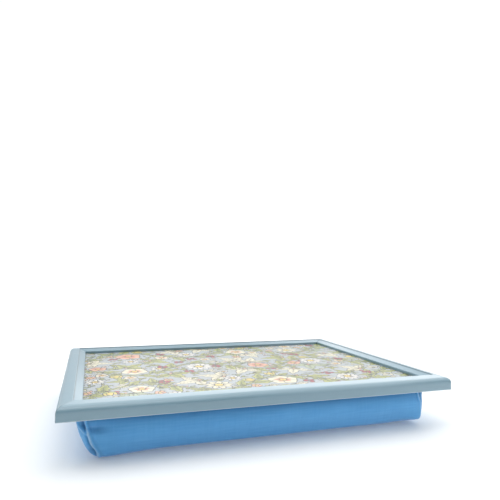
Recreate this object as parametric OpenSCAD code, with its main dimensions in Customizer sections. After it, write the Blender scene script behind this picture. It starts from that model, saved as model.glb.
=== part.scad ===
// Lap tray: a mitred picture-frame rim round a printed board, on a bead-filled cushion.
// Millimetres. The origin is the centre of the cushion's flat base, +X runs to the right
// along the long side, +Y to the back and +Z up.

/* [Tray] */
// Overall width, left to right over the rails
tray_w = 440; // [380:1:500]
// Overall depth, front to back over the rails
tray_d = 330; // [280:1:380]

/* [Rails] */
// Width of a rail, from its outer face to its lip
rail_w = 23; // [21:0.5:30]
// Height of a rail at its crest
rail_h = 16; // [15.5:0.5:20]
// Height at which the outer face turns into the round shoulder
shoulder_z = 7.8; // [7.5:0.1:8.5]
// Radius of the round shoulder
shoulder_r = 7; // [4:0.5:7.5]
// Distance of the crest's inner edge from the outer face
crest_in = 14.6; // [13:0.2:16]
// Radius of the crest's inner edge
crest_r = 0.7; // [0.3:0.1:0.8]
// Height of the small step down inside the crest
crest_step = 1; // [0.8:0.1:1.6]
// Radius of the lip's nose
nose_r = 1.2; // [0.6:0.1:1.6]
// Height of the lip over the print
lip_h = 3.8; // [2.8:0.1:4.5]
// Radius of the outer face's bottom edge
arris_r = 0.9; // [0.3:0.1:2]
// Radius of the frame's four upright corners
corner_r = 1.4; // [0.5:0.1:3]

/* [Rebate] */
// Width of the rebate under the lip
rebate_w = 5.6; // [4.6:0.2:6.4]
// Height of the rebate, from the rail's underside to the lip's underside
rebate_h = 8.5; // [8:0.1:9]
// Clearance of the printed board in the rebate, on each side
board_gap = 0.4; // [0.2:0.1:0.8]

/* [Boards] */
// Thickness of the printed board
board_t = 3; // [2.5:0.1:3.2]
// Thickness of the decor paper under its clear melamine
print_t = 0.2; // [0.1:0.05:0.4]
// Thickness of the cushion's board
pad_board_t = 3; // [2.5:0.1:3.2]
// Radius of the cushion board's corners
pad_board_r = 3; // [2:0.5:5]

/* [Cushion] */
// Height from the flat base to the rails' underside
cushion_h = 45; // [36:1:60]
// Height of the fullest part of the wall
full_z = 28; // [18:1:30]
// How far the wall's corners stay inside the covered board at that height
full_in = 0.5; // [0:0.1:3]
// How far the middle of each long side swells past its corners
side_swell = 2; // [0:0.5:5]
// How far the middle of each end swells past its corners
end_swell = 2; // [0:0.5:5]
// How far the left end stands out under the rails, past the rest of the wall
left_out = 5.5; // [0:0.5:8]
// How far the right end is drawn in under the rails, behind the rest of the wall
right_in = 2.5; // [0:0.5:6]
// How far the wall rolls under at its foot
roll_in = 7; // [5:1:24]
// Fullness of the wall, where 2 is an ellipse and more is squarer
wall_fullness = 2.8; // [2:0.1:3.5]
// How far the left end leans in at its foot
left_lean = 16.5; // [0:0.5:20]
// How far the right end leans in at its foot
right_lean = 0; // [0:1:20]
// How far the foot rises at the right end
right_lift = 3; // [0:0.5:5]
// Radius of the cushion's upright corners
pad_corner_r = 12; // [10:1:30]
// Depth of the crown of the underside
belly = 2.5; // [1.5:0.1:4]
// Depth by which the crown is pressed flat where the cushion stands
base_flat = 0.5; // [0.3:0.1:0.8]

/* [Cover] */
// Thickness of the woven cotton
fabric_t = 0.6; // [0.4:0.05:0.8]
// Clearance of the covered board in the rebate, on each side
pad_gap = 0.3; // [0.2:0.05:0.5]
// Width of the hem that is turned over the board
hem_w = 14; // [12:0.5:20]
// How far the cover is drawn in under the board's edge
neck_in = 5.4; // [5:0.1:7]
// Clearance between the cover and the bead bag
bag_gap = 0.3; // [0.2:0.05:0.5]

/* [Corner nails] */
// Length of each wing of a V nail
v_nail_wing = 4.5; // [3:0.5:5]
// Thickness of a V nail's steel
v_nail_t = 0.6; // [0.4:0.1:0.8]
// Height of a V nail
v_nail_h = 6; // [5:0.5:7]
// Distance of a corner's first V nail from the outer faces
v_nail_in = 7; // [6.5:0.1:7.5]
// Distance between the two V nails of a corner, along each rail
v_nail_pitch = 5.5; // [5.5:0.1:6]

/* [Framer's points] */
// Number of points along each long side
long_points = 4; // [2:1:6]
// Number of points along each short side
short_points = 3; // [2:1:5]
// Length of a point
point_l = 14; // [11:0.5:15]
// Width of a point
point_w = 6; // [4:0.5:8]
// Thickness of a point
point_t = 0.5; // [0.4:0.05:0.5]
// Length of a point's tapered tip
point_tip = 5; // [3:0.5:6]
// Depth to which a point is driven into the rail
point_drive = 8; // [6:0.5:9]

/* [Brads] */
// Diameter of a brad
brad_d = 1.2; // [0.8:0.1:1.4]
// Length of a brad with its head
brad_l = 12; // [10:0.5:13]
// Diameter of a brad's head
brad_head_d = 2; // [1.6:0.1:2.4]
// Thickness of a brad's head
brad_head_t = 0.5; // [0.3:0.1:0.6]
// Slope of a brad, up from level, in degrees
brad_slope = 32; // [28:1:36]

/* [Staples] */
// Number of staples along each long side
long_staples = 8; // [4:1:12]
// Number of staples along each short side
short_staples = 6; // [3:1:9]
// Width of a staple over its legs
staple_w = 10; // [6:0.5:12]
// Thickness of a staple's wire
staple_t = 0.4; // [0.3:0.05:0.5]
// Width of a staple's wire
staple_wire_w = 1; // [0.6:0.1:1.2]
// Depth to which a staple's legs reach into the board
staple_bite = 2.2; // [1.5:0.1:2.2]

/* [Hidden] */
$fn = 48;

// How far a cut runs past what it cuts
over = 1;
// How far the crown's straight ends inside the crest's round
crest_bite = 0.03;
// Points along a quarter of the cushion's outline: half a long side, a corner, half a short side
long_steps = 3;
corner_steps = 4;
short_steps = 3;
// Levels of the wall above and below its fullest part
upper_steps = 4;
lower_steps = 5;
// How the lean of an end grows from the neck to the foot
lean_power = 1.05;
// How soon under the neck an end is out or in
out_power = 8;
// How the rise of the foot grows towards the right end
lift_power = 2;
// How the crown of the underside falls from the wall to the middle
belly_power = 4;

// Levels, from the lip down
rail_z = cushion_h;
lip_z = rail_z + rebate_h;
board_z = lip_z - print_t - board_t;
point_z = board_z - point_t;
hem_z = point_z - staple_t;
pad_board_z = hem_z - fabric_t - pad_board_t;
neck_z = pad_board_z - fabric_t;
foot_z = belly - base_flat;

// Half sizes in plan, from the rebate inwards
rebate_in = rail_w - rebate_w;
opening = [tray_w / 2 - rebate_in, tray_d / 2 - rebate_in];
board_half = opening - [board_gap, board_gap];
cover_half = opening - [pad_gap, pad_gap];
pad_board_half = cover_half - [fabric_t, fabric_t];

// Evenly spread places along a length, each in the middle of its share
function spread(n, length) = [for (i = [0:n - 1]) (i + 0.5) * length / n - length / 2];

// The places midway between those
function between(n, length) = [for (i = [1:n - 1]) i * length / n - length / 2];

function unit(v) = v / norm(v);

// Rails. In the section, x runs in from the outer face and y up from the underside.

// Slope of the straight that rests on two circles
function crown_slope(low, low_r, high, high_r) =
  let (d = high - low)
  atan2(d[1], d[0]) - asin((low_r - high_r) / norm(d));

// Fall of the straight that runs from a corner down onto a circle
function band_fall(corner, centre, r) =
  let (d = corner - centre)
  atan2(d[1], -d[0]) - asin(r / norm(d));

module rail_section() {
  shoulder = [shoulder_r, shoulder_z];
  crest = [crest_in - crest_r, rail_h - crest_r];
  step_foot = [crest_in, rail_h - crest_step];
  nose = [rail_w - nose_r, rebate_h + lip_h - nose_r];
  slope = crown_slope(shoulder, shoulder_r, crest, crest_r);
  fall = band_fall(step_foot, nose, nose_r);
  difference() {
    intersection() {
      square([rail_w, rail_h]);
      union() {
        polygon([
          [0, arris_r],
          [0, shoulder_z],
          shoulder + shoulder_r * [-sin(slope), cos(slope)],
          crest + (crest_r - crest_bite) * [-sin(slope), cos(slope)],
          [crest_in, rail_h - crest_r],
          step_foot,
          nose + nose_r * [sin(fall), cos(fall)],
          [rail_w, nose[1]],
          [rail_w, 0],
          [arris_r, 0]
        ]);
        translate(shoulder) circle(shoulder_r);
        translate(crest) circle(crest_r);
        translate(nose) circle(nose_r);
        translate([arris_r, arris_r]) circle(arris_r);
      }
    }
    translate([rebate_in, -over]) square([rebate_w + over, rebate_h + over]);
  }
}

// Outline of the whole frame in plan, with its four corners eased
module frame_outline() {
  square([tray_w - 2 * corner_r, tray_d], center = true);
  square([tray_w, tray_d - 2 * corner_r], center = true);
  for (x = [-1, 1], y = [-1, 1])
    translate([x * (tray_w / 2 - corner_r), y * (tray_d / 2 - corner_r)]) circle(corner_r);
}

module fixings_in_rails() {
  v_nails();
  points();
  brads();
}

// A rail of the front: mitred at both ends, with its outer face at a distance from the centre.
// The first child is the frame's outline as a prism, the second what is driven into the rail.
module rail(length, distance) {
  color("#b4cad6")
  difference() {
    intersection() {
      translate([-length / 2, -distance, rail_z])
        rotate([90, 0, 90]) linear_extrude(length) rail_section();
      translate([0, -distance, rail_z]) linear_extrude(rail_h)
        polygon([
          [-length / 2, 0], [length / 2, 0],
          [length / 2 - rail_w, rail_w], [rail_w - length / 2, rail_w]
        ]);
      children(0);
    }
    children(1);
  }
}

module long_rail(turn) {
  rotate(turn) rail(tray_w, tray_d / 2) {
    translate([0, 0, rail_z]) linear_extrude(rail_h) frame_outline();
    fixings_in_rails();
  }
}

module short_rail(turn) {
  rotate(turn) rail(tray_d, tray_w / 2) {
    rotate(90) translate([0, 0, rail_z]) linear_extrude(rail_h) frame_outline();
    rotate(90) fixings_in_rails();
  }
}

module front_rail() { long_rail(0); }
module back_rail() { long_rail(180); }
module right_rail() { short_rail(90); }
module left_rail() { short_rail(-90); }

// V nails, driven in from below across each mitre, with one wing in each rail

module v_nail() {
  linear_extrude(v_nail_h)
    for (side = [-1, 1])
      rotate(side * 45) translate([-v_nail_t / 2, -v_nail_t / 2])
        square([v_nail_wing + v_nail_t / 2, v_nail_t]);
}

module v_nails() {
  for (x = [-1, 1], y = [-1, 1], i = [0, 1]) {
    inset = v_nail_in + i * v_nail_pitch;
    translate([x * (tray_w / 2 - inset), y * (tray_d / 2 - inset), rail_z])
      rotate(atan2(y, x)) v_nail();
  }
}

module corner_v_nails() { color("#8d9196") v_nails(); }

// The printed board and its decor face, against the underside of the lip

module board_plate(z, t) {
  translate([-board_half[0], -board_half[1], z]) cube([2 * board_half[0], 2 * board_half[1], t]);
}

module printed_board() { color("#a88a63") board_plate(board_z, board_t); }
module print_sheet() { color("#b9c2b4") board_plate(board_z + board_t, print_t); }

// Framer's points, driven level into the rebate's wall under the printed board

module point() {
  linear_extrude(point_t)
    polygon([
      [0, -point_w / 2], [point_l - point_tip, -point_w / 2], [point_l, 0],
      [point_l - point_tip, point_w / 2], [0, point_w / 2]
    ]);
}

module points() {
  out = point_l - point_drive;
  for (side = [-1, 1]) {
    for (x = spread(long_points, 2 * opening[0]))
      translate([x, side * (opening[1] - out), point_z]) rotate(side * 90) point();
    for (y = spread(short_points, 2 * opening[1]))
      translate([side * (opening[0] - out), y, point_z]) rotate(90 - side * 90) point();
  }
}

module framers_points() { color("#9a9ea3") points(); }

// Brads, driven up at a slant through the cover's neck and the cushion's board into the rails

module brad() {
  rotate([0, 90 - brad_slope, 0]) {
    cylinder(h = brad_l, d = brad_d);
    cylinder(h = brad_head_t, d = brad_head_d);
  }
}

module brads() {
  inset = neck_in - brad_head_d / 2;
  for (side = [-1, 1]) {
    for (x = between(long_points, 2 * opening[0]))
      translate([x, side * (cover_half[1] - inset), neck_z]) rotate(side * 90) brad();
    for (y = between(short_points, 2 * opening[1]))
      translate([side * (cover_half[0] - inset), y, neck_z]) rotate(90 - side * 90) brad();
  }
}

module cushion_brads() { color("#9a9ea3") brads(); }

// Staples, through the cover's hem into the upper face of the cushion's board

module staple() {
  leg = fabric_t + staple_bite;
  translate([-staple_w / 2, -staple_wire_w / 2, 0]) cube([staple_w, staple_wire_w, staple_t]);
  for (side = [-1, 1])
    translate([side * (staple_w - staple_t) / 2, 0, -leg / 2])
      cube([staple_t, staple_wire_w, leg], center = true);
}

module staples() {
  inset = hem_w / 2;
  for (side = [-1, 1]) {
    for (x = spread(long_staples, 2 * (pad_board_half[0] - hem_w)))
      translate([x, side * (pad_board_half[1] - inset), hem_z]) staple();
    for (y = spread(short_staples, 2 * (pad_board_half[1] - hem_w)))
      translate([side * (pad_board_half[0] - inset), y, hem_z]) rotate(90) staple();
  }
}

module cover_staples() { color("#8d9196") staples(); }

// The cushion is made of rings of one outline, a rectangle with round corners and swollen sides.

// A quarter of the outline, from the middle of a long side to just short of an end's middle
function quarter(half, r, swells) =
  concat(
    [for (i = [0:long_steps - 1])
      let (s = i / long_steps)
      [s * (half[0] - r), half[1] + swells[0] * pow(cos(90 * s), 2)]],
    [for (i = [0:corner_steps])
      let (a = 90 - 90 * i / corner_steps)
      [half[0] - r + r * cos(a), half[1] - r + r * sin(a)]],
    [for (i = [1:short_steps - 1])
      let (s = 1 - i / short_steps)
      [half[0] + swells[1] * pow(cos(90 * s), 2), s * (half[1] - r)]]
  );

// The whole outline, anticlockwise from above. The swells are those of the long sides and of
// the ends, and the left and right ends are moved in.
function outline(half, r, swells = [0, 0], left_end_in = 0, right_end_in = 0) =
  let (
    q = quarter(half, r, swells),
    last = len(q) - 1,
    to_left = left_end_in / half[0] - 1,
    to_right = 1 - right_end_in / half[0]
  )
  concat(
    [[to_right * (half[0] + swells[1]), 0]],
    [for (i = [last:-1:0]) [to_right * q[i][0], q[i][1]]],
    [for (i = [1:last]) [to_left * q[i][0], q[i][1]]],
    [[to_left * (half[0] + swells[1]), 0]],
    [for (i = [last:-1:0]) [to_left * q[i][0], -q[i][1]]],
    [for (i = [1:last]) [to_right * q[i][0], -q[i][1]]]
  );

// A ring at a station [swing out from the covered board's edge, height, corner radius].
// Below the neck the sides swell, most of all near the top, the ends lean in more and more,
// and the right end rises.
function ring(station) =
  let (
    depth = max(0, 1 - station[1] / neck_z),
    swell = sin(180 * sqrt(depth)),
    lean = pow(depth, lean_power),
    out = 1 - pow(1 - depth, out_power),
    half = cover_half + [station[0], station[0]]
  )
  [for (p = outline(half, station[2], swell * [side_swell, end_swell],
                    left_lean * lean - left_out * out, right_lean * lean + right_in * out))
    [p[0], p[1], station[1] + right_lift * lean * pow(max(0, p[0] / half[0]), lift_power)]];

// A station of the wall, moved in from its outer face by a skin. Above and below its fullest
// part the wall is a quarter of a superellipse, and a is the angle up or down from there.
function wall(a, reach, rise, r, skin) =
  let (
    power = 2 / wall_fullness,
    out = unit([pow(cos(a), 2 - power) / reach, pow(sin(a), 2 - power) / rise])
  )
  [
    reach * (pow(cos(a), power) - 1) - full_in - skin * out[0],
    full_z + rise * pow(sin(a), power) - skin * out[1],
    r - skin
  ];

function upper_wall(a, skin) =
  wall(a, neck_in - full_in, neck_z - full_z,
       pad_board_r + (pad_corner_r - pad_board_r) * cos(a), skin);

function lower_wall(a, skin) = wall(a, roll_in, foot_z - full_z, pad_corner_r, skin);

// Rings of the whole wall from the foot up to just under the neck
function wall_rings(skin) =
  concat(
    [for (i = [lower_steps:-1:0]) ring(lower_wall(90 * i / lower_steps, skin))],
    [for (i = [1:upper_steps - 1]) ring(upper_wall(90 * i / upper_steps, skin))]
  );

// Rings of the underside: the edge of its flat, and one midway between that and the foot
function under_rings(skin) =
  let (
    foot = ring(lower_wall(90, skin)),
    flat_share = pow(base_flat / belly, 1 / belly_power),
    mid_share = (1 + flat_share) / 2
  )
  [
    [for (p = foot) [flat_share * p[0], flat_share * p[1], skin]],
    [for (p = foot)
      let (crown = (p[2] - skin + base_flat) * pow(mid_share, belly_power) - base_flat)
      [mid_share * p[0], mid_share * p[1], crown + skin]]
  ];

// One closed skin through a list of rings, from a middle point to a middle point
module skin_through(first, rings, last) {
  n = len(rings[0]);
  count = len(rings);
  faces = concat(
    [for (i = [0:n - 1]) [0, 1 + i, 1 + (i + 1) % n]],
    [for (k = [0:count - 2], i = [0:n - 1])
      let (
        a = 1 + k * n + i,
        b = 1 + k * n + (i + 1) % n
      )
      each [[b, a, a + n], [b, a + n, b + n]]],
    [for (i = [0:n - 1])
      [1 + (count - 1) * n + (i + 1) % n, 1 + (count - 1) * n + i, 1 + count * n]]
  );
  polyhedron(concat([first], [for (r = rings) each r], [last]), faces);
}

function reversed(list) = [for (i = [len(list) - 1:-1:0]) list[i]];

// The cover: out from the middle of the underside, up the wall, in at the neck, round the
// board's edge to the hem, and back along its inner face
module cushion_cover() {
  hem_in = fabric_t + hem_w;
  board_top_z = pad_board_z + pad_board_t;
  edge_r = pad_board_r + fabric_t;
  folded = [
    ring([-neck_in, neck_z, pad_board_r]),
    ring([0, neck_z, edge_r]),
    ring([0, hem_z, edge_r]),
    ring([-hem_in, hem_z, pad_board_r]),
    ring([-hem_in, board_top_z, pad_board_r]),
    ring([-fabric_t, board_top_z, pad_board_r]),
    ring([-fabric_t, pad_board_z, pad_board_r]),
    ring([-neck_in - fabric_t, pad_board_z, pad_board_r]),
    ring([-neck_in - fabric_t, neck_z - fabric_t, pad_board_r])
  ];
  color("#5f97cb")
  difference() {
    skin_through(
      [0, 0, 0],
      concat(
        under_rings(0), wall_rings(0), folded,
        reversed(wall_rings(fabric_t)), reversed(under_rings(fabric_t))
      ),
      [0, 0, fabric_t]
    );
    staples();
    brads();
  }
}

// The bag of beads fills the cover up to the underside of the board
module bead_bag() {
  skin = fabric_t + bag_gap;
  top_in = neck_in + skin;
  color("#e9e7e0")
  skin_through(
    [0, 0, skin],
    concat(
      under_rings(skin), wall_rings(skin),
      [
        ring([-top_in, neck_z - skin, pad_board_r]),
        ring([-top_in, pad_board_z, pad_board_r])
      ]
    ),
    [0, 0, pad_board_z]
  );
}

// The cushion's board has the same outline as the cover that is folded round it
module cushion_board() {
  color("#8a6a48")
  difference() {
    translate([0, 0, pad_board_z]) linear_extrude(pad_board_t)
      polygon(outline(pad_board_half, pad_board_r));
    staples();
    brads();
  }
}

front_rail();
back_rail();
left_rail();
right_rail();
corner_v_nails();
printed_board();
print_sheet();
framers_points();
cushion_board();
cushion_cover();
cover_staples();
bead_bag();
cushion_brads();
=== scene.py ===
import math
import random

import bmesh
import bpy
from mathutils import Matrix, Vector, noise
from mathutils.geometry import delaunay_2d_cdt


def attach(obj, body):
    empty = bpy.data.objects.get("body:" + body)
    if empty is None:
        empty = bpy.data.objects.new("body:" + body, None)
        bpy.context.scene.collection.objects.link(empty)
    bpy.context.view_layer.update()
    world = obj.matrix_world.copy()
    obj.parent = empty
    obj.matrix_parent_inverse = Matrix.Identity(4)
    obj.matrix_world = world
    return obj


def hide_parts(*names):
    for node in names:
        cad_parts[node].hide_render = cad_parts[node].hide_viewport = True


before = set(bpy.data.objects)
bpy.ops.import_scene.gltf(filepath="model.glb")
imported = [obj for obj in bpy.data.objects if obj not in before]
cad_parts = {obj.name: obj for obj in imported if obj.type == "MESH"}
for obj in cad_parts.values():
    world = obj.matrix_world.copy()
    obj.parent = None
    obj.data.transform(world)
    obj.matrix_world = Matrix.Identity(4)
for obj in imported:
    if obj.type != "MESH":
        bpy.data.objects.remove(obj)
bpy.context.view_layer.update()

# Lap tray: a mitred picture-frame rim round a printed board, on a bead-filled cushion.
# Lengths are in millimetres until at() or MM turns them to metres.
MM = 0.001

# The rim: its size, its underside's height, and the moulding's arcs and corners, each given as
# (in from the outer face, up from the underside) with its radius
TRAY_W, TRAY_D = 440.0, 330.0
RAIL_W, RAIL_Z = 23.0, 45.0
SHOULDER, SHOULDER_R = (7.0, 7.8), 7.0
CREST, CREST_R, CREST_IN = (13.9, 15.3), 0.7, 14.6
STEP_FOOT = (14.6, 15.0)
NOSE, NOSE_R = (21.8, 11.1), 1.2
ARRIS_R, CORNER_R = 0.9, 1.4
REBATE_IN, REBATE_H, REBATE_ARRIS_R = 17.4, 8.5, 0.4
# the width of the small round that the lacquer leaves on each sharp edge
EASE_W = 0.14

# The printed sheet: half its width and depth, its underside's height and its thickness
SHEET_X, SHEET_Y, SHEET_Z, SHEET_T = 202.2, 147.2, 53.3, 0.2

# The cover: the heights where it turns out under its board and where its hem lies on it, half its
# width and depth at the neck and round the board, its cloth, its hem, and the sole's clearance
NECK_Z, HEM_Z = 45.2, 49.4
NECK_X, NECK_Y = 196.0, 141.0
COVER_X, COVER_Y = 202.3, 147.3
FABRIC_T, HEM_W = 0.6, 14.0
SOLE = 0.25

# The press's inks
INKS = {
    "ground": "#b9c4cb", "line": "#2c3430", "stem": "#a9b36a", "leaf": "#c3c878",
    "leaf_shade": "#a3ad5c", "sage": "#b4c3a0", "cream": "#f0ecd0", "white": "#f4f3ee",
    "peach": "#edb898", "pink": "#dd8a7c", "berry": "#a01f38", "berry_light": "#cf6572",
    "yellow": "#ead571", "orange": "#dc9d55",
}


def at(x, y, z):
    """A place given in millimetres."""
    return Vector((x, y, z)) * MM


def tone(sheet_colour):
    """An sRGB hex colour as linear red, green, blue and one."""
    parts = [int(sheet_colour[i:i + 2], 16) / 255 for i in (1, 3, 5)]
    linear = [c / 12.92 if c <= 0.04045 else ((c + 0.055) / 1.055) ** 2.4 for c in parts]
    return (*linear, 1.0)


# Camera: low in front of the tray and a little to its left

def make_camera():
    lens = bpy.data.cameras.new("view_from_front_left")
    lens.lens, lens.sensor_width = 33.709, 36.0
    lens.clip_start, lens.clip_end = 0.01, 50.0
    camera = bpy.data.objects.new("view_from_front_left", lens)
    bpy.context.scene.collection.objects.link(camera)
    yaw, rise, roll = math.radians(18.788), math.radians(2.463), math.radians(0.792)
    turn = Matrix.Rotation(-yaw, 4, "Z") @ Matrix.Rotation(math.radians(90) + rise, 4, "X")
    place = Matrix.Translation(at(-193.536, -623.473, 184.860))
    camera.matrix_world = place @ turn @ Matrix.Rotation(roll, 4, "Z")
    bpy.context.scene.camera = camera


make_camera()


# Materials. Each pattern's scale is its number of cells to a metre, so 500 gives cells of 2 mm.

def add(tree, kind, settings=None, links=None):
    """One node with its settings, given by the name or number of a socket or by the name of a
    property, and its links."""
    node = tree.nodes.new(kind)
    for name, value in (settings or {}).items():
        if isinstance(name, int) or name in node.inputs:
            node.inputs[name].default_value = value
        else:
            setattr(node, name, value)
    for name, socket in (links or {}).items():
        tree.links.new(socket, node.inputs[name])
    return node


def new_material(name):
    """An empty material, its nodes, and the place on the object that its patterns start from."""
    material = bpy.data.materials.new(name)
    material.use_nodes = True
    tree = material.node_tree
    tree.nodes.clear()
    return material, tree, add(tree, "ShaderNodeTexCoord").outputs["Object"]


def close(tree, settings, links):
    """The surface shader and its output."""
    shader = add(tree, "ShaderNodeBsdfPrincipled", settings, links)
    add(tree, "ShaderNodeOutputMaterial", links={"Surface": shader.outputs[0]})


def calc(tree, operation, *terms):
    """A sum on sockets and numbers."""
    settings = {i: term for i, term in enumerate(terms) if isinstance(term, (int, float))}
    links = {i: term for i, term in enumerate(terms) if i not in settings}
    return add(tree, "ShaderNodeMath", {"operation": operation, **settings}, links).outputs[0]


def ramp(tree, value, low, high, start=0.0, end=1.0):
    """Start at low, end at high, straight between them."""
    settings = {1: low, 2: high, 3: start, 4: end}
    return add(tree, "ShaderNodeMapRange", settings, {0: value}).outputs[0]


def mix(tree, share, first, second, way="MIX"):
    """Two colours mixed by a share, each a socket or a constant."""
    settings, links = {"data_type": "RGBA", "blend_type": way}, {}
    for socket, value in ((0, share), (6, first), (7, second)):
        (settings if isinstance(value, (float, tuple)) else links)[socket] = value
    return add(tree, "ShaderNodeMix", settings, links).outputs[2]


def mottle(tree, place, scale, detail, roughness=0.5):
    settings = {"Scale": scale, "Detail": detail, "Roughness": roughness}
    return add(tree, "ShaderNodeTexNoise", settings, {"Vector": place}).outputs["Fac"]


def streaks(tree, place, scale, detail, roughness=0.5):
    """A mottle with its own scale along each axis."""
    drawn_out = add(tree, "ShaderNodeMapping", {"Scale": scale}, {"Vector": place}).outputs[0]
    return mottle(tree, drawn_out, 1.0, detail, roughness)


def relief(tree, height, strength, distance, under=None):
    """Fine relief, on top of a coarser one where there is one."""
    links = {"Height": height} if under is None else {"Height": height, "Normal": under}
    settings = {"Strength": strength, "Distance": distance * MM}
    return add(tree, "ShaderNodeBump", settings, links).outputs[0]


def painted_wood(name, along):
    """Satin lacquer sprayed on a softwood moulding. The lacquer is even and soft to the eye, with
    a fine orange peel of 1.6 mm and a faint swell of the grain, 70 mm along the rail and 4.5 mm
    across it. Painted shade darkens the step, the lacquer is a shade darker along the mitres where
    the joints show, and a painted highlight runs along the bottom arris."""
    material, tree, place = new_material(name)
    grain = streaks(tree, place, (14, 220, 220) if along == "x" else (220, 14, 220), 4.0, 0.6)
    cloud = mottle(tree, place, 22.0, 2.0)
    peel = mottle(tree, place, 620.0, 2.0)
    sprayed = mix(tree, cloud, tone("#7c9cab"), tone("#82a2b2"))
    fleck = ramp(tree, grain, 0.3, 0.7, 0.965, 1.02)
    colour = mix(tree, 1.0, sprayed, fleck, "MULTIPLY")
    x, y, z = add(tree, "ShaderNodeSeparateXYZ", links={0: place}).outputs
    from_end = calc(tree, "SUBTRACT", TRAY_W / 2 * MM, calc(tree, "ABSOLUTE", x))
    from_front = calc(tree, "SUBTRACT", TRAY_D / 2 * MM, calc(tree, "ABSOLUTE", y))
    inward = from_front if along == "x" else from_end
    # painted shade: a darker band whose middle is 0.3 mm in from the step's wall
    step = STEP_FOOT[0] * MM + 0.3 * MM
    from_step = calc(tree, "ABSOLUTE", calc(tree, "SUBTRACT", inward, step))
    from_mitre = calc(tree, "ABSOLUTE", calc(tree, "SUBTRACT", from_end, from_front))
    # painted shade in the step, with a darker line along each mitre where the joint shows
    step_shade_and_mitre_line = calc(tree, "MINIMUM", ramp(tree, from_step, 0.3 * MM, 0.9 * MM, 0.72),
                    ramp(tree, from_mitre, 0.2 * MM, 0.7 * MM, 0.76))
    colour = mix(tree, 1.0, colour, step_shade_and_mitre_line, "MULTIPLY")
    # a painted highlight along the bottom arris
    up = calc(tree, "SUBTRACT", z, RAIL_Z * MM)
    painted_arris_highlight = calc(tree, "MULTIPLY", ramp(tree, up, 0.3 * MM, 1.1 * MM, 0.6, 0.0),
                ramp(tree, inward, 0.8 * MM, 1.6 * MM, 1.0, 0.0))
    colour = mix(tree, painted_arris_highlight, colour, tone("#d5e3e8"))
    swell = relief(tree, grain, 0.18, 0.2)
    close(tree, {"IOR": 1.5, "Coat Weight": 0.75, "Coat Roughness": 0.34},
          {"Base Color": colour, "Roughness": ramp(tree, cloud, 0.3, 0.7, 0.3, 0.38),
           "Normal": relief(tree, peel, 0.12, 0.2, swell)})
    return material


def printed_laminate():
    """Decor paper printed in flat inks under clear gloss melamine. The inks keep sharp edges with
    the small unevenness of a press, the ground alone is pinned with fine dots 2.4 mm apart as in a
    block print, and the melamine gives clear, slightly soft reflections."""
    material, tree, place = new_material("printed_laminate")
    inks = add(tree, "ShaderNodeAttribute", {"attribute_name": "ink"}).outputs["Color"]
    wash = mottle(tree, place, 60.0, 3.0)
    tooth = mottle(tree, place, 900.0, 2.0)
    press = ramp(tree, calc(tree, "ADD", wash, tooth), 0.7, 1.3, 0.71, 0.83)
    colour = mix(tree, 1.0, inks, press, "MULTIPLY")
    pins = add(tree, "ShaderNodeTexVoronoi",
               {"voronoi_dimensions": "2D", "Scale": 420.0, "Randomness": 0.6},
               {"Vector": place}).outputs["Distance"]
    # of all the inks only the ground has clearly more blue than red
    red, _, blue = add(tree, "ShaderNodeSeparateColor", links={0: inks}).outputs
    ground = ramp(tree, calc(tree, "SUBTRACT", blue, red), 0.03, 0.05)
    dot = calc(tree, "MULTIPLY", ramp(tree, pins, 0.2, 0.28, 0.4, 0.0), ground)
    colour = mix(tree, dot, colour, tone(INKS["line"]))
    ripple = mottle(tree, place, 35.0, 1.0)
    close(tree, {"Roughness": 0.5, "IOR": 1.3, "Coat Weight": 0.65, "Coat Roughness": 0.2},
          {"Base Color": colour, "Normal": relief(tree, ripple, 0.05, 0.3)})
    return material


def woven_cotton(name, low, high, crest_highlight, shadow, sheen):
    """Plain-woven cotton. Its threads are about 0.4 mm apart, drawn 0.9 mm apart so that they show,
    with uneven slubs that run down the walls, 2.4 mm wide and 38 mm long, and a dry, soft sheen."""
    material, tree, place = new_material(name)
    facing = add(tree, "ShaderNodeNewGeometry").outputs["Normal"]
    turned = add(tree, "ShaderNodeSeparateXYZ", links={0: facing}).outputs
    side = add(tree, "ShaderNodeSeparateXYZ", links={0: place}).outputs
    # the end walls count their threads along Y, all else along X
    end = calc(tree, "GREATER_THAN", calc(tree, "ABSOLUTE", turned[0]), 0.7)
    across = add(tree, "ShaderNodeMix", links={0: end, 2: side[0], 3: side[1]}).outputs[0]
    # the underside counts the other threads along Y, the walls along Z
    flat = calc(tree, "GREATER_THAN", calc(tree, "ABSOLUTE", turned[2]), 0.75)
    down = add(tree, "ShaderNodeMix", links={0: flat, 2: side[2], 3: side[1]}).outputs[0]
    waves = [calc(tree, "SINE", calc(tree, "MULTIPLY", way, 2 * math.pi / (0.9 * MM)))
             for way in (across, down)]
    cloth = add(tree, "ShaderNodeCombineXYZ", links={0: across, 1: down}).outputs[0]
    slub = streaks(tree, cloth, (420, 26, 1), 3.0)
    cross = streaks(tree, cloth, (30, 520, 1), 2.0)
    yarn = calc(tree, "MULTIPLY_ADD", slub, 0.6, cross)
    yarn = calc(tree, "MULTIPLY_ADD", calc(tree, "MULTIPLY", *waves), 0.12, yarn)
    shade = calc(tree, "MULTIPLY_ADD", mottle(tree, place, 18.0, 2.0), 0.4, yarn)
    colour = mix(tree, ramp(tree, shade, 0.5, 1.5), tone(low), tone(high))
    # painted highlight along the folds' crests, and painted shade beside them, in the hollows and
    # towards the rim
    fold_light = add(tree, "ShaderNodeAttribute", {"attribute_name": "fold_light"}).outputs["Fac"]
    colour = mix(tree, ramp(tree, fold_light, 0.0, 1.0, 0.0, 0.7), colour, tone(crest_highlight))
    colour = mix(tree, ramp(tree, fold_light, 0.0, -1.0, 0.0, 0.65), colour, tone(shadow))
    close(tree, {"Roughness": 0.88, "Sheen Weight": sheen, "Sheen Roughness": 0.5, "IOR": 1.45},
          {"Base Color": colour, "Normal": relief(tree, yarn, 0.35, 0.3)})
    return material


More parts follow.
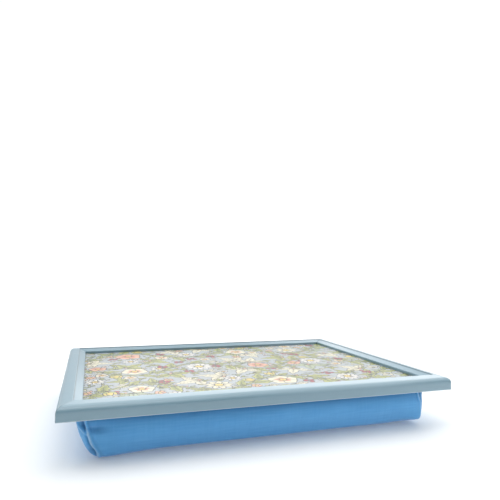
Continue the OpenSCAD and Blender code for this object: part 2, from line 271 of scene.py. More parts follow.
def bright_steel():
    """Drawn and rolled mild steel, bright but grey, with a faint haze of oil in spots of 2.5 mm."""
    material, tree, place = new_material("bright_steel")
    haze = mottle(tree, place, 400.0, 3.0)
    close(tree, {"Metallic": 1.0},
          {"Base Color": mix(tree, haze, tone("#7f8388"), tone("#a6a9ad")),
           "Roughness": ramp(tree, haze, 0.3, 0.7, 0.28, 0.45)})
    return material


def pressed_fibre(name, low, high, scale):
    """Board of wood fibre pressed flat, with matt, mottled fibres of mixed brown."""
    material, tree, place = new_material(name)
    fibre = mottle(tree, place, scale, 6.0, 0.7)
    colour = mix(tree, ramp(tree, fibre, 0.35, 0.65), tone(low), tone(high))
    close(tree, {"Roughness": 0.8}, {"Base Color": colour, "Normal": relief(tree, fibre, 0.3, 0.2)})
    return material


paint_long = painted_wood("satin_lacquer_on_long_rails", "x")
paint_short = painted_wood("satin_lacquer_on_short_rails", "y")
laminate = printed_laminate()
cotton = woven_cotton("blue_plain_woven_cotton", "#5aa7e4", "#70bbf2", "#c2e2f8", "#205288", 0.4)
lining = woven_cotton("unbleached_lining", "#d9d5c8", "#ece9e0", "#f4f2ea", "#b5b0a2", 0.1)
steel = bright_steel()
fibreboard = pressed_fibre("bare_fibreboard", "#94754e", "#b8996e", 500.0)
hardboard = pressed_fibre("bare_hardboard", "#6d4f33", "#8d6a48", 700.0)


def coat(piece, material):
    piece.data.materials.clear()
    piece.data.materials.append(material)


# the fixings and the boards keep the CAD's own shapes
for node, material in (
        ("corner_v_nails", steel), ("framers_points", steel), ("cover_staples", steel),
        ("cushion_brads", steel), ("printed_board", fibreboard), ("cushion_board", hardboard)):
    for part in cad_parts[node].material_slots:
        part.material = material


# Ways of working

def choose(piece):
    bpy.ops.object.select_all(action="DESELECT")
    bpy.context.view_layer.objects.active = piece
    piece.select_set(True)


def edit(piece):
    choose(piece)
    bpy.ops.object.mode_set(mode="EDIT")
    bpy.ops.mesh.select_all(action="SELECT")


def leave():
    bpy.ops.object.mode_set(mode="OBJECT")


def pick(piece, wanted, kind="verts"):
    """In edit mode, selects just the vertices, edges or faces that a test wants."""
    mesh = bmesh.from_edit_mesh(piece.data)
    bpy.ops.mesh.select_all(action="DESELECT")
    for item in getattr(mesh, kind):
        if wanted(item):
            item.select_set(True)
    mesh.select_flush(True)
    bmesh.update_edit_mesh(piece.data)


def pick_rim(piece):
    """In edit mode, selects the edges that an open sheet ends in."""
    pick(piece, lambda edge: len(edge.link_faces) == 1, "edges")


def extrude(move):
    bpy.ops.mesh.extrude_region_move(TRANSFORM_OT_translate={"value": move})


def apply_all(piece):
    choose(piece)
    for modifier in list(piece.modifiers):
        bpy.ops.object.modifier_apply(modifier=modifier.name)


def smooth(piece, degrees):
    choose(piece)
    bpy.ops.object.shade_smooth_by_angle(angle=math.radians(degrees))


def own_copy(source, name):
    piece = bpy.data.objects.new(name, source.data.copy())
    bpy.context.scene.collection.objects.link(piece)
    return piece


# Rails. A section is drawn by extruding one vertex round the moulding's corners, its corners are
# rounded, and it is drawn out along the rail and sawn at 45 degrees.

def moulding_corners():
    """Each corner of the section as (in from the outer face, up), with its round's radius, the
    turn that the outline makes there, and the steps of the round."""
    rise_x, rise_y = CREST[0] - SHOULDER[0], CREST[1] - SHOULDER[1]
    slope = math.atan2(rise_y, rise_x)
    slope -= math.asin((SHOULDER_R - CREST_R) / math.hypot(rise_x, rise_y))
    top_x = SHOULDER[0] - SHOULDER_R * math.sin(slope)
    top_y = SHOULDER[1] + SHOULDER_R * math.cos(slope)
    fall_x, fall_y = NOSE[0] - STEP_FOOT[0], STEP_FOOT[1] - NOSE[1]
    fall = math.atan2(fall_y, fall_x) - math.asin(NOSE_R / math.hypot(fall_x, fall_y))
    nose_y = STEP_FOOT[1] - (RAIL_W - CREST_IN) * math.tan(fall)
    quarter = math.pi / 2
    return [
        ((0, 0), ARRIS_R, quarter, 3),
        ((0, top_y - top_x * math.tan(slope)), SHOULDER_R, quarter - slope, 14),
        ((CREST_IN, top_y + (CREST_IN - top_x) * math.tan(slope)), CREST_R, quarter + slope, 5),
        (STEP_FOOT, 0, 0, 0),
        ((RAIL_W, nose_y), NOSE_R, quarter - fall, 5),
        ((RAIL_W, REBATE_H), 0, 0, 0),
        ((REBATE_IN, REBATE_H), 0, 0, 0),
        ((REBATE_IN, 0), REBATE_ARRIS_R, quarter, 2),
    ]


def rail(name, length, distance, turn):
    """A rail whose outer face looks along -Y before it is turned."""
    spin = Matrix.Rotation(math.radians(turn), 3, "Z")

    def place(along, inward, up):
        return spin @ at(along, inward - distance, RAIL_Z + up)

    corners = moulding_corners()
    points = [place(-length / 2, *corner[0]) for corner in corners]
    bpy.ops.object.select_all(action="DESELECT")
    bpy.ops.mesh.primitive_plane_add(size=MM, location=(0, 0, 0))
    piece = bpy.context.object
    piece.name, piece.data.name = name + "_moulding", name
    edit(piece)
    bpy.ops.mesh.merge(type="CENTER")
    bpy.ops.transform.translate(value=points[0])
    for before, after in zip(points, points[1:]):
        extrude(after - before)
    bpy.ops.mesh.select_all(action="SELECT")
    bpy.ops.mesh.edge_face_add()
    for point, (_, radius, bend, steps) in zip(points, corners):
        if radius:
            pick(piece, lambda v: (v.co - point).length < 0.02 * MM)
            bpy.ops.mesh.bevel(offset=radius * math.tan(bend / 2) * MM, segments=steps,
                               profile=0.5, affect="VERTICES")
    bpy.ops.mesh.select_all(action="SELECT")
    extrude(place(length / 2, 0, 0) - place(-length / 2, 0, 0))
    # the saw cuts at both ends, and the eased corner in three small cuts
    for end in (-1, 1):
        cuts = [((end * length / 2, 0), (end, 1))]
        for angle in (15, 30, 45):
            a = math.radians(angle)
            way = (end * math.sin(a), -math.cos(a))
            cuts.append(((end * (length / 2 - CORNER_R) + CORNER_R * way[0],
                          CORNER_R + CORNER_R * way[1]), way))
        for (along, inward), way in cuts:
            bpy.ops.mesh.select_all(action="SELECT")
            bpy.ops.mesh.bisect(plane_co=place(along, inward, 0), plane_no=spin @ Vector((*way, 0)),
                                use_fill=True, clear_outer=True, threshold=0.00001 * MM)
    bpy.ops.mesh.select_all(action="SELECT")
    bpy.ops.mesh.remove_doubles(threshold=0.001 * MM)
    bpy.ops.mesh.normals_make_consistent(inside=False)
    leave()
    # eases the sharp edges alone, which turn by more than the rounds' own steps do
    ease = piece.modifiers.new("ease", "BEVEL")
    ease.width, ease.segments = EASE_W * MM, 2
    ease.limit_method, ease.angle_limit = "ANGLE", math.radians(31)
    apply_all(piece)
    smooth(piece, 24)
    coat(piece, paint_long if turn in (0, 180) else paint_short)
    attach(piece, "root")
    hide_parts(name)


for name, length, distance, turn in (
        ("front_rail", TRAY_W, TRAY_D / 2, 0), ("back_rail", TRAY_W, TRAY_D / 2, 180),
        ("right_rail", TRAY_D, TRAY_W / 2, 90), ("left_rail", TRAY_D, TRAY_W / 2, -90)):
    rail(name, length, distance, turn)


# The print. It is drawn as flat inks, the later over the earlier, on one sheet: wavy stems with
# leaves, flowers in their bays, and sprigs of every size between them. Here too all is in
# millimetres, angles are in degrees, and each motif points along +X before it is turned. The
# plain numbers in a motif are shares of its own length, width or radius.

# the dark line left round each motif
LINE_W = 1.0
# the stems: the length of a wave, the steps that each stem is drawn in, and their width
WAVE, STEM_STEPS, STEM_W = 168.0, 80, 2.4
# each shape with its ink, each filled round place, and the draws that the layout is left to
drawn, taken, chance = [], [], random.Random(5)


def placed(points, x, y, degrees=0.0):
    c, s = math.cos(math.radians(degrees)), math.sin(math.radians(degrees))
    return [(x + c * px - s * py, y + s * px + c * py) for px, py in points]


def grown(points, amount):
    """An outline moved outwards."""
    out = []
    for i, (x, y) in enumerate(points):
        ax, ay = points[i - 1]
        bx, by = points[(i + 1) % len(points)]
        size = math.hypot(bx - ax, by - ay) or 1.0
        out.append((x + amount * (by - ay) / size, y - amount * (bx - ax) / size))
    return out


def ink(points, colour, x=0.0, y=0.0, degrees=0.0, line=LINE_W):
    """A flat shape of one ink, on a dark shape that stands out round it."""
    shape = placed(points, x, y, degrees)
    if line:
        drawn.append((grown(shape, line), "line"))
    drawn.append((shape, colour))


def disc(radius, corners=10):
    return [placed([(radius, 0)], 0, 0, 360 * i / corners)[0] for i in range(corners)]


def strip(middle, half_widths):
    """A closed outline along a middle line."""
    low, high = [], []
    for i, ((x, y), half) in enumerate(zip(middle, half_widths)):
        ax, ay = middle[max(i - 1, 0)]
        bx, by = middle[min(i + 1, len(middle) - 1)]
        size = math.hypot(bx - ax, by - ay) or 1.0
        nx, ny = half * (ay - by) / size, half * (bx - ax) / size
        low.append((x - nx, y - ny))
        high.append((x + nx, y + ny))
    return low + high[::-1]


def bent(length, bend, start, end, steps):
    """A middle line that bends away from +X, from one share of its length to another."""
    return [(length * t, bend * length * t * t)
            for t in (start + (end - start) * i / steps for i in range(steps + 1))]


def blade(length, width, bend=0.0, fullest=0.45, lobes=0, depth=0.0, steps=9):
    """A leaf or petal, widest at a share of its length, with or without lobes."""
    power = math.log(0.5) / math.log(fullest)
    halves = []
    for i in range(steps + 1):
        half = width / 2 * math.sin(math.pi * (i / steps) ** power)
        if lobes:
            half *= 1 - depth * (0.5 + 0.5 * math.cos(2 * math.pi * lobes * i / steps))
        halves.append(max(0.02, half))
    outline = strip(bent(length, bend, 0, 1, steps), halves)
    return outline[:steps + 1] + outline[steps + 2:-1]


def rib(length, bend, width, start=0.0, end=1.0, steps=5):
    """A line that tapers to a point."""
    halves = [width / 2 * (1 - 0.85 * i / steps) for i in range(steps + 1)]
    return strip(bent(length, bend, start, end, steps), halves)


def stroke(x, y, degrees, length, width=0.8):
    """A single cut of the block, wide at its foot and running out to a point."""
    ink([(0, -width / 2), (length, 0), (0, width / 2)], "line", x, y, degrees, 0)


def leaf(x, y, degrees, length, width, bend=0.0, lobes=0, depth=0.0, colour="leaf"):
    steps = 4 * lobes or (5 if length < 12 else 7)
    ink(blade(length, width, bend, 0.4, lobes, depth, steps), colour, x, y, degrees)
    if colour == "leaf":
        shaded = placed(blade(length * 0.96, width * 0.5, bend, 0.4, steps=5), 0, -width * 0.05)
        ink(shaded, "leaf_shade", x, y, degrees, 0)
    ink(rib(length, bend, 0.9, 0.02, 0.9), "line", x, y, degrees, 0)
    veins = 5 if length > 22 else 4 if length > 15 else 3 if length > 9 else 0
    for side in (-1, 1):
        for k in range(veins):
            t = 0.2 + 0.56 * k / (veins - 1)
            foot = placed([(length * t, bend * length * t * t)], x, y, degrees)[0]
            lean = degrees + math.degrees(math.atan(2 * bend * t)) + side * 40
            stroke(*foot, lean, width * 0.42 * math.sin(math.pi * t ** 0.76))
        if length > 13:
            for k in range(3):
                foot = placed([(0.05 * length, side * width * 0.05 * (k + 1))], x, y, degrees)[0]
                stroke(*foot, degrees + side * 9 * (k + 1), length * (0.34 - 0.07 * k))


def leaves(x, y, degrees, leans, length, width, shorter=100.0, bend=0.004, lobes=0, depth=0.0,
           colour="leaf"):
    """Leaves that fan out from one foot, the outer ones shorter."""
    for lean in leans:
        leaf(x, y, degrees + lean, length * (1 - abs(lean) / shorter), width, lean * bend,
             lobes, depth, colour)


def blossom(x, y, degrees, radius, petal="cream", blush="peach"):
    """Five broad petals with a blush and a dotted eye."""
    for k in range(5):
        leaf(x, y, degrees + 72 * k + 36, radius * 0.98, radius * 0.3, colour="sage")
    for k in range(5):
        a = degrees + 72 * k
        ink(blade(radius, radius * 0.98, 0, 0.62, steps=8), petal, x, y, a)
        ink(blade(radius * 0.66, radius * 0.42, 0, 0.5, steps=6), blush, x, y, a, 0)
        for lean in (-17, 0, 17):
            ink(rib(radius * 0.6, 0, 0.45, 0.3, steps=2), "pink", x, y, a + lean, 0)
        for lean in (-25, -9, 9, 25):
            stroke(*placed([(radius * 0.2, 0)], x, y, a + lean)[0], a + lean, radius * 0.26)
    ink(disc(radius * 0.22, 12), "yellow", x, y)
    for k in range(7):
        ink(placed(disc(0.6, 6), radius * 0.31, 0), "orange", x, y, degrees + 360 / 7 * k, 0.2)
    ink(disc(radius * 0.09, 8), "orange", x, y, line=0)


def daisy(x, y, degrees, radius, petal="white", petals=11):
    for k in range(petals):
        a = degrees + 360 * k / petals
        ink(blade(radius, radius * 0.4, 0, 0.62, steps=7), petal, x, y, a)
        for lean in (-7, 0, 7):
            foot = placed([(radius * 0.26, 0)], x, y, a + lean)[0]
            stroke(*foot, a + lean, radius * (0.3 if lean else 0.5), 0.7)
    ink(disc(radius * 0.28, 14), "yellow", x, y)
    for k in range(6):
        ink(placed(disc(0.55, 6), radius * 0.15, 0), "orange", x, y, 60 * k, 0)


def small_flower(x, y, degrees, radius, petal, eye):
    for k in range(5):
        ink(blade(radius, radius * 0.85, 0, 0.6, steps=5), petal, x, y, degrees + 72 * k)
    ink(disc(radius * 0.26, 7), eye, x, y)


def bell(x, y, degrees, size):
    """A bud of three petals with two sepals."""
    for lean in (-24, 24, 0):
        ink(blade(size, size * 0.46, 0, 0.5, steps=7), "yellow", x, y, degrees + lean)
        ink(rib(size, 0, 0.5, 0.15, 0.7, 2), "orange", x, y, degrees + lean, 0)
    for lean in (-42, 42):
        sepal = blade(size * 0.6, size * 0.24, lean / 210, 0.4, steps=5)
        ink(sepal, "leaf", x, y, degrees + lean)


def berries(x, y, degrees, size):
    for dx, dy, share in ((0, 0, 1.0), (7.6, 3.6, 0.9), (7.4, -4.2, 0.95), (14.0, 0.2, 0.85)):
        px, py = placed([(dx, dy)], x, y, degrees)[0]
        ink(disc(size * share, 12), "berry", px, py)
        for a in range(0, 360, 90):
            ink(placed(disc(0.55, 5), size * share / 2, 0), "berry_light", px, py, a + degrees, 0)
    for lean in (150, 180, 210):
        ink(blade(7, 2.6, 0, 0.4, steps=5), "leaf", x, y, degrees + lean)


def curl(x, y, degrees, size):
    """A tendril that winds inwards."""
    path = []
    for i in range(15):
        a, r = 4.6 * i / 14, size * (1 - i / 14) ** 1.1
        path.append((size - r * math.cos(a), r * math.sin(a)))
    ink(strip(path, [0.55 * (1 - i / 28) for i in range(15)]), "stem", x, y, degrees, 0.28)


def free(x, y, radius):
    return all(math.hypot(x - a, y - b) > radius + r for a, b, r in taken)


def sprig(x, y, radius):
    """Something to fill a round place of that radius."""
    a, kind = chance.uniform(0, 360), chance.randrange(6)
    colour = ("leaf", "cream", "leaf", "sage", "leaf", "cream")[chance.randrange(6)]
    foot = placed([(-radius, 0)], x, y, a)[0]
    if radius > 15:
        leaves(*foot, a, (-52, 52, 0), radius * 2, radius * 0.95, 220, 0.00625, 4, 0.3, colour)
        ink(disc(2.2, 8), "peach", *foot)
    elif radius > 11 and kind < 2:
        blossom(x, y, a, radius * 0.92, ("peach", "cream")[kind], ("pink", "peach")[kind])
    elif radius > 11 and kind == 2:
        daisy(x, y, a, radius * 0.92, "white", 10)
    elif radius > 11:
        leaves(*foot, a, (-44, 44, 0), radius * 2, radius * 0.8, 180, 0.0055, 3, 0.34, colour)
    elif radius > 8 and kind == 0:
        berries(*foot, a, 3.2)
    elif radius > 8 and kind == 1:
        bell(*foot, a, radius * 1.9)
    elif radius > 8 and kind == 2:
        blossom(x, y, a, radius * 0.9)
    elif radius > 8:
        leaves(*foot, a, (-40, 40, 0), radius * 2, radius * 0.62, 160, 0.0033, colour=colour)
    elif radius > 5.5 and kind == 0:
        daisy(x, y, a, radius * 0.95, "white", 8)
    elif radius > 5.5 and kind == 1:
        small_flower(x, y, a, radius, "peach", "yellow")
    elif radius > 5.5:
        leaves(*foot, a, (-34, 34, 0), radius * 1.95, radius * 0.6, 140, 0.0033, colour=colour)
    elif radius > 4 and kind == 0:
        small_flower(x, y, a, radius, "white", "orange")
    elif radius > 4:
        leaves(*foot, a, (-28, 28), radius * 1.8, radius * 0.66, 1000, 0.005, colour=colour)
    elif kind == 0:
        ink(disc(radius / 2, 8), ("berry", "yellow", "peach")[chance.randrange(3)], x, y)
    else:
        leaf(*foot, a, radius * 2, radius * 0.8, 0.15, colour=colour)


def clear_of(flowers, place, gap):
    return all(math.hypot(place[0] - x, place[1] - y) > r + gap for x, y, r, _ in flowers)


def draw_print():
    sheet = [(-SHEET_X, -SHEET_Y), (SHEET_X, -SHEET_Y), (SHEET_X, SHEET_Y), (-SHEET_X, SHEET_Y)]
    drawn.append((sheet, "ground"))
    # three stems: the height of each one's middle, the wave's rise and its phase
    stems = []
    across = [-SHEET_X + 2 * SHEET_X * i / STEM_STEPS for i in range(STEM_STEPS + 1)]
    for mid, rise, phase in ((-98, 24, 20), (0, 27, 200), (98, 24, 20)):
        stems.append([(x, mid + rise * math.sin(math.radians(360 * x / WAVE + phase)))
                      for x in across])
    # a flower 22 mm inside each bend, as (x, y, radius, kind)
    flowers = []
    for k, path in enumerate(stems):
        for i in range(1, STEM_STEPS):
            before, (x, y), after = path[i - 1][1], path[i], path[i + 1][1]
            if (y - before) * (after - y) <= 0:
                n = len(flowers)
                inside = -22 if y > after or y > before else 22
                flowers.append((x, y + inside, 15 + 2 * (n % 3), (5 * n + 2 * k) % 6))
    taken.extend((x, y, r + 1) for x, y, r, _ in flowers)
    # leaves on both sides of each stem, where they miss the flowers
    stem_leaves = []
    for k, path in enumerate(stems):
        for i in range(2, STEM_STEPS - 1, 3):
            (ax, ay), (x, y), (bx, by) = path[i - 1], path[i], path[i + 1]
            side, size = (1 if i // 3 % 2 else -1), 24 + 7 * math.sin(i * 1.7 + k)
            a = math.degrees(math.atan2(by - ay, bx - ax)) + side * 52
            middle = placed([(0.55 * size, 0)], x, y, a)[0]
            if clear_of(flowers, middle, 3):
                stem_leaves.append((x, y, a, size, -0.22 * side, i))
                taken.append((*middle, 0.34 * size))
    # sprigs in what is left, from the widest places to the narrowest
    for radius, tries in ((17, 500), (12.5, 1200), (9, 2400), (6.4, 4000), (4.4, 6000),
                          (2.9, 8000)):
        for _ in range(tries):
            x = chance.uniform(-SHEET_X + radius, SHEET_X - radius)
            y = chance.uniform(-SHEET_Y + radius, SHEET_Y - radius)
            if free(x, y, radius - 0.8):
                taken.append((x, y, radius))
                sprig(x, y, radius)
    for path in stems:
        ink(strip(path, [STEM_W / 2] * len(path)), "stem")
    for x, y, a, size, bend, i in stem_leaves:
        leaf(x, y, a, size, size * 0.56, bend, 3, 0.42)
        if i % 4 == 2:
            curl(x, y, a - 110, 8)
    for k, path in enumerate(stems):
        for i in range(6, 76, 13):
            (x, y), side = path[i + k * 2], (1 if i % 2 else -1)
            if i % 3:
                berries(x, y + side * 9, side * 90 + 20, 3.4)
            else:
                bell(x, y + side * 6, side * 80, 15)
    for x, y, r, kind in flowers:
        a = chance.uniform(0, 72)
        if kind in (0, 2, 4):
            blossom(x, y, a, r, *(("peach", "pink") if kind == 2 else ("cream", "peach")))
        else:
            daisy(x, y, a, r, *(("cream", 9) if kind == 5 else ("white", 12)))


def print_sheet():
    """The inks laid on one flat sheet. Each face of the plane takes the ink that lies on top, and
    neighbours of one ink are joined."""
    draw_print()
    corners, outlines = [], []
    for points, _ in drawn:
        outlines.append(list(range(len(corners), len(corners) + len(points))))
        corners += [Vector(p) for p in points]
    plane, _, faces, _, _, owners = delaunay_2d_cdt(corners, [], outlines, 0, 0.0001, True)
    kept = [(face, max(owner)) for face, owner in zip(faces, owners) if 0 in owner]
    colours = list(INKS)
    mesh = bpy.data.meshes.new("printed_face")
    mesh.from_pydata([at(p[0], p[1], SHEET_Z + SHEET_T) for p in plane], [],
                     [face for face, _ in kept])
    # until the inks are written to the mesh, one material for each marks its faces
    for name in colours:
        mesh.materials.append(bpy.data.materials.new(name))
    mesh.polygons.foreach_set("material_index", [colours.index(drawn[top][1]) for _, top in kept])
    piece = bpy.data.objects.new("printed_face", mesh)
    bpy.context.scene.collection.objects.link(piece)
    edit(piece)
    bpy.ops.mesh.delete_loose()
    bpy.ops.mesh.select_all(action="SELECT")
    bpy.ops.mesh.dissolve_limited(angle_limit=0.02, delimit={"MATERIAL"})
    pick_rim(piece)
    extrude(at(0, 0, -SHEET_T))
    bpy.ops.mesh.edge_face_add()
    bpy.ops.mesh.select_all(action="SELECT")
    bpy.ops.mesh.normals_make_consistent(inside=False)
    leave()
    tones = [tone(INKS[name]) for name in colours]
    values = []
    for face in mesh.polygons:
        values += tones[face.material_index] * face.loop_total
        face.material_index = 0
    inks = mesh.color_attributes.new("ink", "FLOAT_COLOR", "CORNER")
    inks.data.foreach_set("color", values)
    coat(piece, laminate)
    for name in colours:
        bpy.data.materials.remove(bpy.data.materials[name])
    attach(piece, "root")
    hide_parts("print_sheet")


print_sheet()


# The cushion. The filled bag's form swells under pressure inside its cover, then the cover gets
# the dents, folds and seams that its sewing and its beads give it.

# the form: the size of its mesh, how far it stands out from the CAD's bag, its edge that is held,
# the most that it gives under pressure, and the frames in which it settles
FORM_MESH, FORM_OUT, HELD_W, MOST_SWELL, SWELL_FRAMES = 4.5, 0.5, 2.5, 1.6, 20
# how far the bag lies inside the form, and the most that it stands out at a seam
BAG_GAP, BAG_OUT = 3.0, -0.3
# the most that the cover stands out at a seam, and how far from one its cloth is made finer
COVER_OUT, SEAM_REACH = 9.0, 9.0


def swollen_form():
    """The filled form as one even mesh, swollen as cloth with its upper edge held."""
    piece = own_copy(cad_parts["bead_bag"], "swollen_form")
    edit(piece)
    bpy.ops.mesh.remove_doubles(threshold=0.01 * MM)
    bpy.ops.transform.shrink_fatten(value=FORM_OUT * MM)
    leave()
    even = piece.modifiers.new("even", "REMESH")
    even.mode, even.voxel_size = "VOXEL", FORM_MESH * MM
    apply_all(piece)
    start = [vertex.co.copy() for vertex in piece.data.vertices]
    held = piece.vertex_groups.new(name="held")
    held.add([i for i, p in enumerate(start) if p.z > (NECK_Z - HELD_W) * MM], 1.0, "REPLACE")
    swell = piece.modifiers.new("swell", "CLOTH")
    cloth = swell.settings
    cloth.quality, cloth.mass = 6, 0.3
    cloth.tension_stiffness = cloth.compression_stiffness = 12
    cloth.bending_stiffness = 0.6
    cloth.use_pressure, cloth.uniform_pressure_force = True, 1.2
    cloth.vertex_group_mass = "held"
    cloth.effector_weights.gravity = 0.0
    swell.collision_settings.use_collision = False
    swell.point_cache.frame_start, swell.point_cache.frame_end = 1, SWELL_FRAMES
    scene = bpy.context.scene
    for number in range(1, SWELL_FRAMES + 1):
        scene.frame_set(number)
    bpy.context.view_layer.update()
    apply_all(piece)
    scene.frame_set(1)
    for vertex, before in zip(piece.data.vertices, start):
        move = vertex.co - before
        if move.length > MOST_SWELL * MM:
            move = move.normalized() * MOST_SWELL * MM
        vertex.co = before + move
    return piece


def level(low, high, value):
    """0 at low, 1 at high, eased between and kept beyond."""
    t = min(1.0, max(0.0, (value - low) / (high - low)))
    return t * t * (3 - 2 * t)


def nearest_on(path, p):
    """Distance to a path, the share along it, and the offset from it."""
    best = None
    for k, (a, b) in enumerate(zip(path, path[1:])):
        line = b - a
        t = min(1.0, max(0.0, (p - a).dot(line) / line.length_squared))
        gap = p - (a + line * t)
        if best is None or gap.length < best[0]:
            best = (gap.length, (k + t) / (len(path) - 1), gap)
    return best


# The corner seams, from the neck down to the sole, at the front. The left end panel is folded in
# beside its seam, and the right one is drawn up tight.
LEFT_SEAM = [(-194.8, -145.6, 44), (-194.3, -146, 36.3), (-192.9, -146.2, 32.3),
             (-191.4, -146.3, 27.1), (-190.1, -146.1, 22.7), (-188.9, -146, 18.7),
             (-187, -145.8, 14.7), (-184.6, -145.5, 11.1), (-182.7, -144.9, 8.3),
             (-181.9, -144.2, 5.5), (-180.5, -141, 1.5), (-177, -134, 0.6)]
LEFT_FOLD = [(-202, -137, 39), (-201.1, -140.2, 33.5), (-198.7, -143, 31.4),
             (-195.9, -144.6, 28.8), (-193.1, -145.8, 26.1), (-190.8, -146, 23.2)]
RIGHT_SEAM = [(186, -146, 44), (187, -146.5, 36), (188.2, -146.5, 32), (190, -146.3, 27.9),
              (191.1, -145.7, 18.1), (192.5, -143.5, 9), (191.5, -140.5, 4.5), (187, -134, 3)]

# The middles of the hollows and swellings beside them
LEFT_HOLLOW, LEFT_FOOT = Vector((-196.5, -144.8, 34.5)), Vector((-188.2, -143.6, 8.0))
LEFT_DENT, LEFT_CORNER = (-184, 30.8), (-176, -142, 3)
RIGHT_CORNER, RIGHT_PULL = Vector((192.5, -144.5, 2)), Vector((195, -142.5, 35))


def laid_on(piece, path):
    """The path carried onto a piece's surface, in short steps."""
    laid = []
    for a, b in zip(path, path[1:]):
        for k in range(4):
            _, place, _, _ = piece.closest_point_on_mesh(Vector(a).lerp(Vector(b), k / 4) * MM)
            laid.append(place / MM)
    return laid


def bump(distance, width):
    """1 in the middle, falling to nothing at about twice the width."""
    return math.exp(-(distance / width) ** 2)


def front_place(p):
    """The place in millimetres, taken to the front: the back corners are sewn as those are."""
    return Vector((p.x, -abs(p.y), p.z)) / MM


def stitched(p, seams):
    """How far the cover stands out at a place by its seams and folds, in millimetres, and how light
    or dark its colour is painted there: above 0 a painted highlight, below 0 painted shade."""
    q = front_place(p)
    if abs(q.x) < 110 or q.y > -100:
        return 0.0, 0.0
    left_seam, left_fold, right_seam = seams
    gap, share, offset = nearest_on(left_seam if q.x < 0 else right_seam, q)
    outward = -offset.x if q.x < 0 else offset.x
    fade = 1 - level(0.86, 1.0, share)
    if q.x > 0:
        fade *= 1 - 0.65 * level(0.25, 0.5, share)
    crest = bump(gap, 1.1) * fade
    beside = bump(gap - 2.6, 1.3) * fade * (1 if outward > 0 else 0.35)
    # the colour: a painted highlight on the seam's crest, painted shade beside it
    out, fold_light = 1.5 * crest - 1.2 * beside, crest - 0.6 * beside
    if q.x < 0:
        # the end panel: a second fold runs down into the seam, with a hollow above it and one at
        # the foot
        gap, share, _ = nearest_on(left_fold, q)
        if outward > -1:
            crest = bump(gap, 1.5) * (1 - level(0.8, 1.0, share))
            above = bump((q - LEFT_HOLLOW).length, 4.4)
            foot = bump((q - LEFT_FOOT).length, 5.0)
            out += 1.5 * crest - 2.0 * above - 3.6 * foot
            # a painted highlight on the fold's crest, painted shade in the hollows
            fold_light += 0.7 * crest - 0.7 * above - 1.0 * foot
        # the front panel: a flat dent under the rim, and the full corner at the foot
        dent = bump(math.hypot((q.x - LEFT_DENT[0]) / 11, (q.z - LEFT_DENT[1]) / 3.4), 1.0)
        dent *= level(0.8, -1.0, outward)
        dent *= level(-138, -144, q.y)
        x, y, z = LEFT_CORNER
        corner = bump(math.hypot((q.x - x) / 2.2, q.y - y, q.z - z), 13.0)
        out += 1.9 * corner - 2.6 * dent
        # painted shade in the dent
        fold_light -= 0.55 * dent
    else:
        out += 4.0 * bump((q - RIGHT_CORNER).length, 9.0)
        pull = bump((q - RIGHT_PULL).length, 3.2)
        out -= 3.0 * pull
        # painted shade where the cloth is pulled in
        fold_light -= 0.4 * pull
    return out, fold_light


def slack(p, n):
    """Broad soft dents in the filled cloth, with small gathers under the neck, in millimetres."""
    q = p / MM
    side = 1 - abs(n.z)
    broad = noise.noise(Vector((q.x / 60, q.y / 60, q.z / 26 + 3.1)))
    fine = noise.noise(Vector((q.x / 21 + 9.0, q.y / 21, q.z / 38)))
    along = q.x if abs(n.y) > abs(n.x) else q.y
    gather = math.sin(along / 6.3 + 2.2 * noise.noise(Vector((along / 30, 0.5, 0.2))))
    out = side * (0.9 * broad + 0.35 * fine) + 0.28 * side * gather * level(26, 42, q.z)
    return out + (1 - side) * 0.5 * broad


def relieved(piece, seams, most_out):
    """Each vertex moves out or in by the seams, folds and dents, by the seams and folds to
    most_out and no further out. Returns the painted highlight and shade of the cloth at each."""
    places, fold_lights = [], []
    for vertex in piece.data.vertices:
        high = vertex.co.z / MM
        out, fold_light = stitched(vertex.co, seams)
        loose = slack(vertex.co, vertex.normal) * level(NECK_Z - 1, NECK_Z - 5, high)
        places.append(vertex.co + vertex.normal * (min(out, most_out) + loose) * MM)
        # painted shade: the cloth is drawn darker towards the neck, where it runs up under the rim
        fold_lights.append(fold_light - 0.9 * level(20, 46, high) ** 2 * (1 - max(0.0, fold_light)))
    for vertex, place in zip(piece.data.vertices, places):
        vertex.co = place
    return fold_lights


def make_bag(form, seams):
    """The bag is the same form just inside the cover."""
    bag = own_copy(form, "bead_bag_lining")
    relieved(bag, seams, BAG_OUT)
    edit(bag)
    bpy.ops.transform.shrink_fatten(value=-BAG_GAP * MM)
    leave()
    smooth(bag, 60)
    coat(bag, lining)
    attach(bag, "root")
    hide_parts("bead_bag")


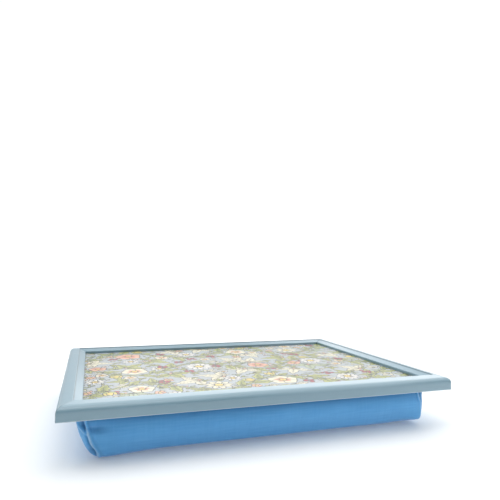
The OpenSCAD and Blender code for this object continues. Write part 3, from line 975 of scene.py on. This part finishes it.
def make_cover(form, seams):
    """The form made finer, most of all beside the seams, and given its folds, neck and hem."""

    def near_seam(face):
        q = front_place(face.calc_center_median())
        return (abs(q.x) > 165 and q.y < -120
                and min(nearest_on(path, q)[0] for path in seams) < SEAM_REACH)

    finer = form.modifiers.new("finer", "SUBSURF")
    finer.levels = finer.render_levels = 1
    apply_all(form)
    form.name = form.data.name = "cushion_cover_cloth"
    edit(form)
    pick(form, near_seam, "faces")
    bpy.ops.mesh.subdivide(number_cuts=2, smoothness=0.0)
    leave()
    fold_lights = relieved(form, seams, COVER_OUT)
    # the painted highlight and shade that the cloth's colour takes
    form.data.attributes.new("fold_light", "FLOAT", "POINT").data.foreach_set("value", fold_lights)
    for vertex in form.data.vertices:
        vertex.co.z = max(vertex.co.z, SOLE * MM)
    edit(form)
    bpy.ops.mesh.bisect(plane_co=at(0, 0, NECK_Z), plane_no=(0, 0, 1), clear_outer=True,
                        use_fill=False)
    # the cloth runs out under its board, up the board's edge and in over it as a hem
    for wide, deep, rise in (
            (COVER_X / NECK_X, COVER_Y / NECK_Y, 0), (1, 1, HEM_Z - NECK_Z),
            ((COVER_X - HEM_W) / COVER_X, (COVER_Y - HEM_W) / COVER_Y, 0)):
        pick_rim(form)
        extrude(at(0, 0, rise))
        for v in bmesh.from_edit_mesh(form.data).verts:
            if v.select:
                v.co.x *= wide
                v.co.y *= deep
        bmesh.update_edit_mesh(form.data)
    bpy.ops.mesh.select_all(action="SELECT")
    bpy.ops.mesh.normals_make_consistent(inside=False)
    leave()
    wall = form.modifiers.new("cloth_thickness", "SOLIDIFY")
    wall.thickness, wall.offset = FABRIC_T * MM, -1
    apply_all(form)
    smooth(form, 50)
    coat(form, cotton)
    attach(form, "root")
    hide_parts("cushion_cover")


def make_cushion():
    form = swollen_form()
    seams = [laid_on(form, path) for path in (LEFT_SEAM, LEFT_FOLD, RIGHT_SEAM)]
    make_bag(form, seams)
    make_cover(form, seams)


make_cushion()


# Floor and light. Here places and sizes are in metres.

# each soft box with its place, what it looks at, its width, its height and its watts
LAMPS = (
    ("overhead", (-0.2, -0.2, 1.6), (0, 0, 0), 1.6, 1.6, 16.0),
    ("high_left", (-1.05, 0, 1.3), (0, 0, 0), 1.6, 0.9, 9.0),
    ("high_right", (1.05, -0.1, 1.3), (0, 0, 0), 1.6, 0.9, 8.0),
    ("behind", (0.7, 1.3, 1.2), (0, 0, 0), 2.2, 1.5, 18.5),
    ("high_front", (0.6, -1.1, 0.8), (0.1, -0.1, 0.03), 0.8, 0.8, 1.2),
    ("near_right", (0.5, -0.58, 0.27), (0.12, -0.1, 0.03), 0.35, 0.35, 0.6),
)
WARM_WHITE = (1.0, 0.97, 0.955)


def white_floor():
    """A white table that glows a little, as if lit from below. From 0.5 m out the camera sees it
    glow more and more, so it runs into the lit backdrop with no horizon."""
    bpy.ops.object.select_all(action="DESELECT")
    bpy.ops.mesh.primitive_plane_add(size=30.0, location=(0, 0, 0))
    floor = bpy.context.object
    floor.name = "floor"
    material, tree, place = new_material("matt_white_floor")
    away = add(tree, "ShaderNodeVectorMath", {"operation": "LENGTH"}, {0: place}).outputs["Value"]
    seen = add(tree, "ShaderNodeLightPath").outputs["Is Camera Ray"]
    far = calc(tree, "MULTIPLY", ramp(tree, away, 0.5, 1.5), seen)
    white = {"Base Color": (0.76, 0.8, 0.82, 1), "Roughness": 0.9, "Emission Color": (1, 1, 1, 1)}
    close(tree, white, {"Emission Strength": calc(tree, "ADD", far, 0.14)})
    coat(floor, material)


def studio():
    """A white backdrop behind the tray and a dimmer room in front of it. The camera itself sees
    plain white all round."""
    world = bpy.data.worlds.new("white_studio")
    world.use_nodes = True
    tree = world.node_tree
    tree.nodes.clear()
    way = add(tree, "ShaderNodeTexCoord").outputs["Generated"]
    depth = add(tree, "ShaderNodeSeparateXYZ", links={0: way}).outputs[1]
    glow = ramp(tree, depth, -0.3, 0.5, 0.05, 0.7)
    seen = add(tree, "ShaderNodeLightPath").outputs["Is Camera Ray"]
    strength = add(tree, "ShaderNodeMix", {3: 1.06}, {0: seen, 2: glow}).outputs[0]
    sky = add(tree, "ShaderNodeBackground", {"Color": (0.97, 0.99, 1, 1)}, {"Strength": strength})
    add(tree, "ShaderNodeOutputWorld", links={"Surface": sky.outputs[0]})
    bpy.context.scene.world = world


def light(name, place, aim, wide, high, power):
    lamp = bpy.data.lights.new(name, "AREA")
    lamp.shape, lamp.size, lamp.size_y, lamp.energy = "RECTANGLE", wide, high, power
    lamp.color = WARM_WHITE
    box = bpy.data.objects.new(name, lamp)
    box.location = place
    box.rotation_euler = (Vector(aim) - Vector(place)).to_track_quat("-Z", "Y").to_euler()
    bpy.context.scene.collection.objects.link(box)


white_floor()
studio()
for lamp in LAMPS:
    light(*lamp)
bpy.context.scene.view_settings.view_transform = "Standard"
